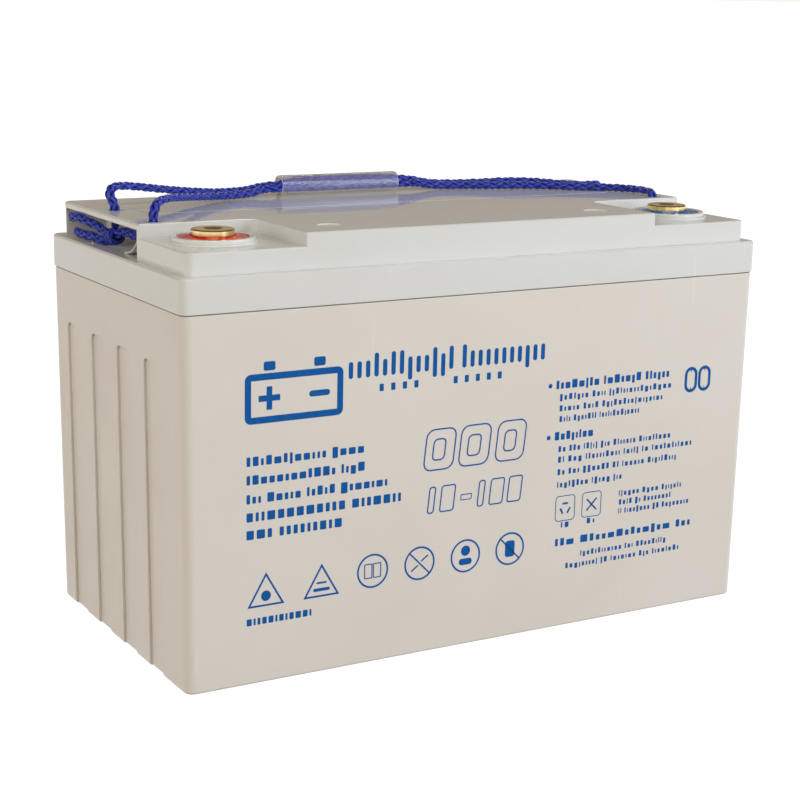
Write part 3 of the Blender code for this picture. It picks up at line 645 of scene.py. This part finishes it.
def frames_along(route, wide, over):
    """(tangent, wide, thick) at each point; over(point) is the way its flat side looks there."""
    carried = []
    wide = Vector(wide)
    for k in range(len(route)):
        tangent = (route[min(k + 1, len(route) - 1)] - route[max(k - 1, 0)]).normalized()
        wide = (wide - tangent * wide.dot(tangent)).normalized()
        carried.append((tangent, wide.copy(), tangent.cross(wide)))
    turns, last = [], 0.0
    for point, (tangent, wide, thick) in zip(route, carried):
        wanted = tangent.cross(Vector(over(point)))
        if wanted.length > 0.35:
            turn = math.atan2(wanted.dot(thick), wanted.dot(wide))
            last = turn + math.pi * round((last - turn) / math.pi)
        turns.append(last)
    frames = []
    for k, (tangent, wide, thick) in enumerate(carried):
        near = turns[max(0, k - SETTLE) : k + SETTLE + 1]
        turn = sum(near) / len(near)
        if k < SETTLE + 1:
            turn = turns[0] + (turn - turns[0]) * k / (SETTLE + 1)
        turned = Matrix.Rotation(turn, 3, tangent) @ wide
        frames.append((tangent, turned, tangent.cross(turned)))
    return frames


def flat_side(point):
    """Up and a little forwards where the rope lies on the lid, and outwards in the end pockets."""
    if point.z < POCKET_TOP:
        return (math.copysign(1, point.x), 0, 0)
    if GRIP_SPAN[0] < point.x < GRIP_SPAN[1]:
        return STACKED_OVER
    return (-0.25, -0.55, 0.8)


def strand_centres(route, frames, start, way, number, size, tip):
    """(centre, outward normal, scale) and the share of full height of one strand, at each point."""
    wide, thick = size
    inner_wide = wide - WEAVE - STRAND_HALF_THICK
    inner_thick = thick - WEAVE - STRAND_HALF_THICK
    step = (route[1] - route[0]).length
    centres, lifts = [], []
    for k, point in enumerate(route):
        s = start + k * step
        angle = way * math.tau * s / BRAID_PITCH
        angle += math.tau * (number + (0.5 if way < 0 else 0)) / STRANDS_EACH_WAY
        crossing = math.tau * STRANDS_EACH_WAY * (s / BRAID_PITCH - CROSSING_SHIFT)
        lift = way * WEAVE * math.cos(crossing)
        lifts.append(0.5 + 0.5 * lift / WEAVE)
        shrink = 1.0
        if tip:
            left = min(1, (len(route) - 1 - k) * step / TIP_LONG)
            shrink = min(shrink, TIP_SHRINK + (1 - TIP_SHRINK) * left)
        _, across, over = frames[k]
        out = across * (math.cos(angle) * (inner_wide + lift))
        out += over * (math.sin(angle) * (inner_thick + lift))
        normal = across * (math.cos(angle) / wide) + over * (math.sin(angle) / thick)
        centres.append((point + out * shrink, normal.normalized(), shrink))
    return centres, lifts


def strand_rings(bm, centres):
    """A flattened ring of vertices round each centre of a strand."""
    rings = []
    for k, (centre, normal, shrink) in enumerate(centres):
        before, after = centres[max(k - 1, 0)][0], centres[min(k + 1, len(centres) - 1)][0]
        run = (after - before).normalized()
        side = run.cross(normal).normalized()
        high = side.cross(run)
        ring = []
        for j in range(STRAND_SIDES):
            a = math.tau * j / STRAND_SIDES
            offset = side * (math.cos(a) * STRAND_HALF_WIDE)
            offset += high * (math.sin(a) * STRAND_HALF_THICK)
            ring.append(bm.verts.new((centre + offset * shrink) * MM))
        rings.append(ring)
    return rings


def braid(bm, route, frames, start, size=(ROPE_HALF_WIDE, ROPE_HALF_THICK), tip=False):
    """Strands wound both ways round the route, each over one and under the next."""
    strand = bm.loops.layers.uv.new("strand")
    weave = bm.loops.layers.uv.new("weave")
    step = (route[1] - route[0]).length
    for way in (1, -1):
        for number in range(STRANDS_EACH_WAY):
            centres, lifts = strand_centres(route, frames, start, way, number, size, tip)
            rings = strand_rings(bm, centres)
            for k, (first, second) in enumerate(zip(rings, rings[1:])):
                for j in range(STRAND_SIDES):
                    n = (j + 1) % STRAND_SIDES
                    face = bm.faces.new((first[j], first[n], second[n], second[j]))
                    face.smooth = True
                    corners = ((j, k), (j + 1, k), (j + 1, k + 1), (j, k + 1))
                    for loop, (across, along) in zip(face.loops, corners):
                        run = along * step * THREAD_STRETCH + number * THREAD_SHIFT
                        loop[strand].uv = (across / STRAND_SIDES, run)
                        # the weave map carries each strand's rise and its outward side, which the rope
                        # colour uses for painted shade
                        crown = 0.5 + 0.5 * math.sin(math.tau * across / STRAND_SIDES)
                        loop[weave].uv = (lifts[along], crown)
            bm.faces.new(rings[0][::-1])
            bm.faces.new(rings[-1])


def rope_piece(name, points, replaced, phase=0.0, tip=False):
    """One length of the rope; returns it with its route and length in metres."""
    route, length = smooth_route(points, RING_STEP)
    bm = bmesh.new()
    braid(bm, route, frames_along(route, (0, 0.77, 0.64), flat_side), phase, tip=tip)
    piece = add_mesh(name, bm, ROPE)
    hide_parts(*replaced)
    return piece, [p * MM for p in route], length * MM


def ease(share, low, high):
    t = min(1.0, max(0.0, (share - low) / (high - low)))
    return t * t * (3 - 2 * t)


def make_rope():
    middle_length = MIDDLE_FRONT[-1][0] - MIDDLE_FRONT[0][0]
    right = ("rope_leg_right_back", "rope_turn_right", "rope_leg_right_front")
    pieces = (
        ("rope_left_front", LEFT_FRONT, ("rope_leg_left_front", "rope_tail_upper"), "left", "bare"),
        ("rope_left_back", LEFT_BACK, ("rope_leg_left_back", "rope_tail_lower"), "left", "bare"),
        ("rope_right", RIGHT, right, "right", "object"),
        ("rope_in_grip_front", MIDDLE_FRONT, ("rope_middle_front",), "middle", "object"),
        ("rope_in_grip_back", MIDDLE_BACK, ("rope_middle_back",), "middle", "object"),
    )
    knot = make_knot()
    for name, points, replaced, part, far_end in pieces:
        phase = middle_length if part == "right" else 0.0
        piece, path, length = rope_piece(name, points, replaced, phase, part == "left")
        if part == "left":
            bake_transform(piece)
        elif part == "right":
            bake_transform(piece)
        else:
            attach(piece, "carry_rope")


def make_knot():
    """The hitch that ties both ends together: two turns of the rope round both strands."""
    centre = Vector(KNOT_CENTRE)
    axis = Vector((-0.28, 0.95, -0.05)).normalized()
    level = axis.cross(Vector((0, 0, 1))).normalized()
    upright = level.cross(axis)
    turns, spread, steps = 1.9, 4.4, 60
    loose, tuck = 2.7, 1.2
    route = []
    for k in range(steps + 1):
        share = k / steps
        angle = math.radians(70) - math.tau * turns * share
        reach = loose - tuck * (ease(share, 0.9, 1.0) + 1 - ease(share, 0.0, 0.1))
        place = axis * (spread * (share - 0.5))
        place += level * (math.cos(angle) * reach * 1.15) + upright * (math.sin(angle) * reach)
        route.append(centre + place)
    bm = bmesh.new()
    frames = frames_along(route, axis, lambda point: (point - centre).cross(axis).cross(axis) * -1)
    braid(bm, route, frames, 3.0, size=(2.4, 1.6))
    knot = add_mesh("rope_hitch", bm, ROPE, "battery")
    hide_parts("rope_knot")
    return knot


make_rope()


# Grip sleeve


SLEEVE_WALL = 0.6 * MM
SLEEVE_LOOSE = 0.25 * MM  # how far inside its packed size the tube stays
SLEEVE_WAVE = 0.10 * MM
SLEEVE_CREASE, CREASE_AT, CREASE_WIDE = 0.25 * MM, math.radians(118), 0.16
SLEEVE_FOOT, FOOT_SHARE = 0.5 * MM, 0.04  # the cut edges' outward turn, and its share of the wall


def make_sleeve():
    """A length of clear tubing, split along its underside, whose cut edges turn out a little."""
    low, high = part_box("grip_sleeve")
    low.x, high.x = low.x + 0.5 * MM, high.x - 2.0 * MM
    centre_y, centre_z = (low.y + high.y) / 2, high.z - (high.y - low.y) / 2 - 0.8 * MM
    outer = (high.y - low.y) / 2
    slit, around, along = math.radians(16), 72, 28
    rng = random.Random(4)
    waves = [(rng.uniform(0.5, 2.5), rng.uniform(0, math.tau), rng.randint(1, 3)) for _ in range(5)]
    bm = bmesh.new()
    loops = []
    for n in range(along + 1):
        share = n / along
        x = low.x + (high.x - low.x) * share
        ring = []
        for inside in (False, True):
            for k in range(around + 1):
                j = around - k if inside else k
                angle = -math.pi / 2 + slit + (math.tau - 2 * slit) * j / around
                radius = outer - (SLEEVE_WALL if inside else 0)
                edge = min(j, around - j) / around
                radius -= SLEEVE_LOOSE
                radius += SLEEVE_WAVE * sum(
                    math.sin(f * share * math.tau + p + m * angle) for f, p, m in waves
                ) / len(waves)
                crease = math.exp(-(((angle - CREASE_AT) / CREASE_WIDE) ** 2))
                radius += SLEEVE_CREASE * crease
                y, z = centre_y + radius * math.cos(angle), centre_z + radius * math.sin(angle)
                foot = max(0.0, 1 - edge / FOOT_SHARE)
                y += math.copysign(SLEEVE_FOOT * foot, math.cos(angle))
                ring.append(bm.verts.new((x, y, z)))
        loops.append(ring)
    count = len(loops[0])
    for first, second in zip(loops, loops[1:]):
        for k in range(count):
            n = (k + 1) % count
            bm.faces.new((first[k], first[n], second[n], second[k])).smooth = True
    half = around + 1
    for ring, flip in ((loops[0], True), (loops[-1], False)):
        for k in range(half - 1):
            quad = [ring[k], ring[k + 1], ring[count - 2 - k], ring[count - 1 - k]]
            face = bm.faces.new(quad[::-1] if flip else quad)
            face.material_index = 1
    bmesh.ops.recalc_face_normals(bm, faces=bm.faces)
    sleeve = add_mesh("clear_sleeve", bm, PVC)
    sleeve.data.materials.append(PVC_EDGE)
    sleeve.visible_shadow = False  # so that light reaches the rope inside
    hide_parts("grip_sleeve")
    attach(sleeve, "grip")
    sleeve.data.set_sharp_from_angle(angle=math.radians(50))


make_sleeve()


# Print on the front face: plain generic marks, in millimetres along X and Z

CASE_LOW, CASE_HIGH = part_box("case")
CASE_DRAFT, LID_LINE = 1.4 * MM, 180 * MM
INK_THICK = 0.06 * MM


def on_front(x, z, proud):
    """The point on the container's sloping front face, that far out of it."""
    z = z * MM
    return Vector((x * MM, CASE_LOW.y + CASE_DRAFT * (1 - z / LID_LINE) - proud, z))


def rounded(x0, z0, x1, z1, radius, lean=0.0, steps=4):
    """The outline of a rectangle with round corners, leaning to the right by lean at its top."""
    radius = min(radius, (x1 - x0) / 2, (z1 - z0) / 2)
    outline = []
    corners = ((x1, z1, 0), (x0, z1, 90), (x0, z0, 180), (x1, z0, 270))
    for x, z, start in corners:
        cx = x - radius if x == x1 else x + radius
        cz = z - radius if z == z1 else z + radius
        for k in range(steps + 1):
            a = math.radians(start + 90 * k / steps)
            px, pz = cx + radius * math.cos(a), cz + radius * math.sin(a)
            outline.append((px + lean * (pz - z0) / (z1 - z0), pz))
    return outline


def circle(x, z, radius, steps=40):
    turn = [math.tau * k / steps for k in range(steps)]
    return [(x + radius * math.cos(a), z + radius * math.sin(a)) for a in turn]


def bar(x, z, long, wide, degrees):
    """A straight bar about a middle point, turned anticlockwise from level."""
    a = math.radians(degrees)
    shape = rounded(-long / 2, -wide / 2, long / 2, wide / 2, wide / 2, steps=3)
    return [
        (x + px * math.cos(a) - pz * math.sin(a), z + px * math.sin(a) + pz * math.cos(a))
        for px, pz in shape
    ]


def inset(outline, stroke):
    """The outline moved inwards by the stroke; it runs anticlockwise."""
    made = []
    for k, here in enumerate(outline):
        before, after = Vector(outline[k - 1]), Vector(outline[(k + 1) % len(outline)])
        here = Vector(here)
        a, b = (here - before).normalized(), (after - here).normalized()
        inward = Vector((-a.y, a.x)) + Vector((-b.y, b.x))
        inward.normalize()
        scale = stroke / max(0.5, inward.dot(Vector((-a.y, a.x))))
        made.append(tuple(here + inward * scale))
    return made


def ink_solid(bm, outline):
    front = [bm.verts.new(on_front(x, z, INK_THICK)) for x, z in outline]
    back = [bm.verts.new(on_front(x, z, -INK_THICK)) for x, z in outline]
    bm.faces.new(front)
    bm.faces.new(back[::-1])
    for k in range(len(front)):
        n = (k + 1) % len(front)
        bm.faces.new((front[n], front[k], back[k], back[n]))


def ink_line(bm, outline, stroke):
    """The outline itself, drawn with that stroke."""
    loops = [
        [bm.verts.new(on_front(x, z, proud)) for x, z in points]
        for points, proud in (
            (outline, INK_THICK),
            (inset(outline, stroke), INK_THICK),
            (inset(outline, stroke), -INK_THICK),
            (outline, -INK_THICK),
        )
    ]
    for first, second in zip(loops, loops[1:] + loops[:1]):
        for k in range(len(first)):
            n = (k + 1) % len(first)
            bm.faces.new((first[k], first[n], second[n], second[k]))


def ink_words(bm, x0, x1, z, height, words, seed, capitals=False, weight=1.0):
    """A line of plain blocks that stands for text: words gives the number of blocks in each word."""
    rng = random.Random(seed)
    widths, gap = [], 0.20
    for count in words:
        widths.append([rng.choice((0.22, 0.30, 0.46, 0.52, 0.58)) for _ in range(count)])
    total = sum(sum(w) + gap * (len(w) - 1) for w in widths) + 0.55 * (len(words) - 1)
    unit = (x1 - x0) / total
    x = x0
    for word in widths:
        for k, width in enumerate(word):
            tall = capitals or k == 0 or rng.random() < 0.22
            top = z + height * (1.0 if tall else 0.74)
            bottom = z - (height * 0.22 if not capitals and rng.random() < 0.1 else 0)
            thin = width * unit * (1 - weight) / 2
            right = x + width * unit
            ink_solid(bm, rounded(x + thin, bottom, right - thin, top, height * 0.10, steps=2))
            x = right + gap * unit
        x += (0.55 - gap) * unit


def finish_print(name, bm):
    bmesh.ops.recalc_face_normals(bm, faces=bm.faces)
    add_mesh(name, bm, INK, "battery")


def print_mark():
    """A plain picture of a battery: a box with two posts, a plus and a minus."""
    bm = bmesh.new()
    ink_line(bm, rounded(-134, 127.5, -83, 151, 3), 3.2)
    for x in (-124.5, -98.5):
        ink_solid(bm, rounded(x, 152.2, x + 6, 156.5, 1))
    x, z, arm, half = -121.5, 139.2, 5.5, 1.45
    cross = ((arm, -half), (arm, half), (half, half), (half, arm), (-half, arm), (-half, half))
    ink_solid(bm, [(x + px, z + pz) for px, pz in cross + tuple((-px, -pz) for px, pz in cross)])
    ink_solid(bm, bar(-95.5, 139.2, 11, 2.9, 0))
    finish_print("front_print_mark", bm)


def print_heading():
    """Two rows of upright strokes, as wide as a name and a tag line would be."""
    bm = bmesh.new()
    rng = random.Random(11)
    for x0, count in ((-80.2, 13), (-17.2, 11)):
        for k in range(count):
            x = x0 + k * 4.62
            top = 152.4 + (3.4 if rng.random() < 0.2 else 0)
            bottom = 144.2 - (3.2 if rng.random() < 0.12 else 0)
            ink_solid(bm, rounded(x, bottom, x + 2.35, top, 1.15))
    for x0, count in ((-63.4, 4), (-22.0, 5)):
        for k in range(count):
            x = x0 + k * 6.4
            ink_solid(bm, rounded(x, 136.8, x + 2.3, 140.4, 0.4))
    finish_print("front_print_heading", bm)


def print_large_blocks():
    """Large blocks in outline, leaning a little."""
    bm = bmesh.new()
    for x0, x1 in ((-38.5, -21), (-18.5, -0.5), (3, 20.5)):
        ink_line(bm, rounded(x0, 93.8, x1, 115, 4.5, lean=2.2), 0.75)
        ink_line(bm, rounded(x0 + 5, 98.8, x1 - 5, 110, 2.5, lean=1.2), 0.75)
    for x0, x1 in ((-34.5, -30.5), (-27.5, -19), (-5.6, -1.6), (1.4, 9.9), (12.2, 20.7)):
        ink_line(bm, rounded(x0 - 1, 72, x1 - 1, 85.8, 1.6, lean=1.4), 0.7)
    ink_line(bm, rounded(-16.2, 76.6, -9.6, 79.8, 0.6, lean=0.3), 0.5)
    finish_print("front_print_large_blocks", bm)


def print_text():
    """Blocks that stand for the lines of text."""
    bm = bmesh.new()
    lines = (
        (-133, -71.3, 107.6, 4.5, (12, 4)),
        (-133, -70.8, 98.7, 4.5, (12, 4)),
        (-133, -58.1, 89.6, 4.5, (3, 5, 5, 7)),
        (-133, -50.3, 80.8, 4.4, (12, 7)),
        (-133, -82.8, 72.2, 4.4, (3, 9)),
        (-132.8, -98.6, 29.8, 3.4, (12,)),
        (39.3, 111, 128, 4.4, (8, 7, 6)),
        (39.6, 63.4, 101.2, 4.4, (8,)),
        (42.5, 130.8, 44.4, 4.0, (3, 13, 3)),
    )
    for row, (x0, x1, z, height, words) in enumerate(lines):
        ink_words(bm, x0, x1, z, height, words, 20 + row, capitals=row in (3, 4, 5))
    fine = (
        (41.6, 113, 122.1, 3.2, (7, 4, 16)),
        (41.6, 107.5, 116.2, 3.2, (5, 4, 16)),
        (41.8, 92.5, 110.6, 3.2, (4, 7, 13)),
        (42, 114.2, 94.8, 3.2, (2, 3, 5, 3, 7, 9)),
        (42, 128.7, 89.2, 3.2, (2, 3, 10, 5, 2, 11)),
        (42, 118.8, 82.6, 3.2, (2, 3, 6, 2, 6, 9)),
        (42.2, 83.4, 75.9, 3.2, (8, 5, 3)),
        (82, 123.4, 66.7, 3.0, (6, 4, 7)),
        (82.2, 116.6, 61.7, 3.0, (4, 2, 8)),
        (82.2, 129, 56.9, 3.0, (2, 8, 2, 8)),
        (58.8, 115, 37.1, 3.0, (12, 3, 9)),
        (49.5, 124.2, 31.5, 3.0, (9, 2, 7, 3, 8)),
        (45.6, 50.8, 54.1, 2.9, (2,)),
        (61.8, 67, 54.2, 2.9, (2,)),
    )
    for row, (x0, x1, z, height, words) in enumerate(fine):
        ink_words(bm, x0, x1, z, height, words, 60 + row, weight=0.78)
    for x, z in ((35.6, 130), (35.8, 103)):
        ink_solid(bm, circle(x, z, 1.2, 16))
    finish_print("front_print_text", bm)


def print_symbols():
    """Plain signs in a row: triangles and rings with simple shapes inside, and two small squares."""
    bm = bmesh.new()
    for x in (-122.8, -93.3):
        ink_line(bm, [(x + 9.7, 38.5), (x, 55.2), (x - 9.7, 38.5)], 0.95)
    ink_solid(bm, circle(-122.8, 43.6, 2.6, 24))
    ink_solid(bm, bar(-93.3, 45.6, 5.5, 1.0, 0))
    ink_solid(bm, bar(-93.3, 42.2, 9, 1.6, 0))
    rings = (-65.3, -38.8, -12.1, 14.5)
    for x in rings:
        ink_line(bm, circle(x, 47.3, 8.7, 48), 0.95)
    for side in (-1, 1):
        x = rings[0] + side * 2.45
        ink_line(bm, rounded(x - 2.3, 43.6, x + 2.3, 51.2, 0.5, steps=2), 0.55)
    ink_solid(bm, bar(rings[1], 47.3, 15.8, 0.8, -45))
    ink_solid(bm, bar(rings[1] + 2.8, 49.6, 5, 0.8, 35))
    ink_solid(bm, bar(rings[1] - 2.8, 45.0, 5, 0.8, 35))
    ink_solid(bm, circle(rings[2], 50.0, 2.7, 24))
    ink_solid(bm, rounded(rings[2] - 3.8, 42.6, rings[2] + 3.8, 46.0, 1.6))
    ink_solid(bm, rounded(rings[3] - 2.9, 43.0, rings[3] + 2.9, 51.6, 1.5))
    ink_solid(bm, bar(rings[3], 47.3, 15.8, 0.8, -45))
    for x in (47.9, 64.6):
        ink_line(bm, rounded(x - 6.2, 57.6, x + 6.2, 71.3, 2), 0.45)
    for turn in (90, 210, 330):
        a = math.radians(turn)
        ink_solid(bm, bar(47.9 + 2.6 * math.cos(a), 64.4 + 2.6 * math.sin(a), 3.6, 1.1, turn + 90))
    for turn in (45, 135):
        ink_solid(bm, bar(64.6, 64.4, 9, 0.9, turn))
    for x in (125.9, 134.9):
        ink_line(bm, rounded(x - 4.2, 118.2, x + 4.2, 132, 4.2, steps=8), 1.7)
    finish_print("front_print_symbols", bm)


print_mark()
print_heading()
print_large_blocks()
print_text()
print_symbols()
